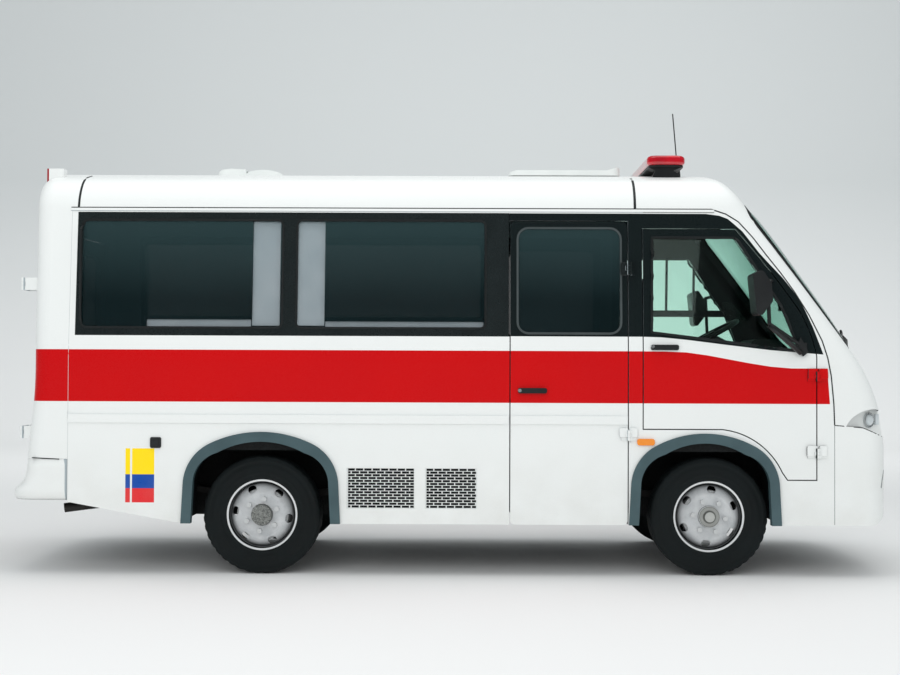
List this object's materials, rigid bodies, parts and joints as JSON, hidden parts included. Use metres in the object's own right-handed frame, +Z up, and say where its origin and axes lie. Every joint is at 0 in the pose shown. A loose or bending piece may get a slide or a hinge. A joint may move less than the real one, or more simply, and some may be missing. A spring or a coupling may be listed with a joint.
{
  "type": "ambulance",
  "caption": "Small bus-bodied ambulance with a raked windscreen, side and rear doors, roof light bar, steered front wheels and a patient room behind an open cab.",
  "frame": {"origin": "on the ground, midway between the bumpers and the sides", "axes": "+X forward, +Y to the vehicle's left, +Z up"},
  "size_m": [5.7148, 2.67, 3.0923],
  "materials": {
    "body_paint": "gloss",
    "cap_paint": "gloss",
    "door_paint": "gloss",
    "frame_black": "gloss",
    "trim_grey": "satin",
    "tinted_glass": "clear",
    "tyre": "matte",
    "wheel_silver": "satin",
    "hub_metal": "satin",
    "chassis_black": "satin",
    "axle_iron": "matte",
    "spring_steel": "satin",
    "engine_iron": "matte",
    "exhaust_steel": "satin",
    "floor_cover": "matte",
    "cabinet_white": "satin",
    "dash_grey": "matte",
    "seat_cloth": "matte",
    "stretcher_tube": "satin",
    "stretcher_pad": "satin",
    "black_plastic": "matte",
    "red_lens": "gloss",
    "lamp_lens": "gloss",
    "hatch_white": "satin",
    "vent_white": "satin"
  },
  "bodies": {
    "body": {"aerial": "black_plastic", "arch_trims": "trim_grey", "cab_side_left": "body_paint", "cab_side_right": "body_paint", "cabinets": "cabinet_white", "chassis_frame": "chassis_black", "dashboard": "dash_grey", "engine": "engine_iron", "exhaust": "exhaust_steel", "floor": "floor_cover", "front_axle": "axle_iron", "front_bumper": "cap_paint", "front_panel": "cap_paint", "fuel_tank": "chassis_black", "lamps": "lamp_lens", "leaf_springs": "spring_steel", "light_bar_base": "black_plastic", "light_bar_lens": "red_lens", "mirror_left": "black_plastic", "rear_axle": "axle_iron", "rear_bumper": "cap_paint", "rear_frame": "cap_paint", "roof_hatch": "hatch_white", "roof_panel": "cap_paint", "roof_vent": "vent_white", "seat_pads": "seat_cloth", "side_panel_left": "body_paint", "side_panel_right": "body_paint", "side_windows": "tinted_glass", "stretcher_frame": "stretcher_tube", "stretcher_pad": "stretcher_pad", "vent_grilles": "vent_white", "window_frames": "frame_black", "windscreen": "tinted_glass"},
    "knuckle_left": {"knuckle_left": "axle_iron"},
    "knuckle_right": {"knuckle_right": "axle_iron"},
    "wheel_front_left": {"tyre_front_left": "tyre", "rim_front_left": "wheel_silver", "hub_front_left": "hub_metal"},
    "wheel_front_right": {"tyre_front_right": "tyre", "rim_front_right": "wheel_silver", "hub_front_right": "hub_metal"},
    "wheel_rear_left": {"tyre_rear_left": "tyre", "rim_rear_left": "wheel_silver", "hub_rear_left": "hub_metal"},
    "wheel_rear_right": {"tyre_rear_right": "tyre", "rim_rear_right": "wheel_silver", "hub_rear_right": "hub_metal"},
    "steering_wheel": {"steering_wheel": "black_plastic"},
    "front_door": {"front_door": "door_paint", "front_door_glass": "tinted_glass", "front_handle": "black_plastic", "mirror_right": "black_plastic"},
    "side_door": {"side_door": "door_paint", "side_door_glass": "tinted_glass", "side_handle": "black_plastic"},
    "rear_door_left": {"rear_door_left": "door_paint", "rear_glass_left": "tinted_glass"},
    "rear_door_right": {"rear_door_right": "door_paint", "rear_glass_right": "tinted_glass"}
  },
  "joints": [
    {"name": "steer_left", "type": "hinge", "parent": "body", "child": "knuckle_left", "pos_m": [1.6425, 0.718, 0.375], "axis": [0, 0, 1], "range_deg": [-35, 35]},
    {"name": "roll_front_left", "type": "hinge", "parent": "knuckle_left", "child": "wheel_front_left", "pos_m": [1.6425, 0.85, 0.375], "axis": [0, 1, 0], "continuous": true},
    {"name": "roll_rear_left", "type": "hinge", "parent": "body", "child": "wheel_rear_left", "pos_m": [-1.2075, 0.85, 0.375], "axis": [0, 1, 0], "continuous": true},
    {"name": "steer_right", "type": "hinge", "parent": "body", "child": "knuckle_right", "pos_m": [1.6425, -0.718, 0.375], "axis": [0, 0, 1], "range_deg": [-35, 35]},
    {"name": "roll_front_right", "type": "hinge", "parent": "knuckle_right", "child": "wheel_front_right", "pos_m": [1.6425, -0.85, 0.375], "axis": [0, 1, 0], "continuous": true},
    {"name": "roll_rear_right", "type": "hinge", "parent": "body", "child": "wheel_rear_right", "pos_m": [-1.2075, -0.85, 0.375], "axis": [0, 1, 0], "continuous": true},
    {"name": "steering_wheel_turn", "type": "hinge", "parent": "body", "child": "steering_wheel", "pos_m": [1.8825, 0.48, 1.56], "axis": [-0.4695, 0, 0.8829], "range_deg": [-490, 490]},
    {"name": "front_door_hinge", "type": "hinge", "parent": "body", "child": "front_door", "pos_m": [2.3135, -1.046, 1.029], "axis": [0, 0, 1], "range_deg": [0, 70]},
    {"name": "side_door_hinge", "type": "hinge", "parent": "body", "child": "side_door", "pos_m": [1.1225, -1.046, 1.425], "axis": [0, 0, 1], "range_deg": [0, 85]},
    {"name": "rear_door_right_hinge", "type": "hinge", "parent": "body", "child": "rear_door_right", "pos_m": [-2.7605, -0.9, 1.371], "axis": [0, 0, 1], "range_deg": [0, 100]},
    {"name": "rear_door_left_hinge", "type": "hinge", "parent": "body", "child": "rear_door_left", "pos_m": [-2.7605, 0.9, 1.371], "axis": [0, 0, -1], "range_deg": [0, 100]}
  ],
  "couplings": [
    {"joint": "steer_right", "follows": "steer_left", "ratio": 1},
    {"joint": "steering_wheel_turn", "follows": "steer_left", "ratio": 14}
  ]
}
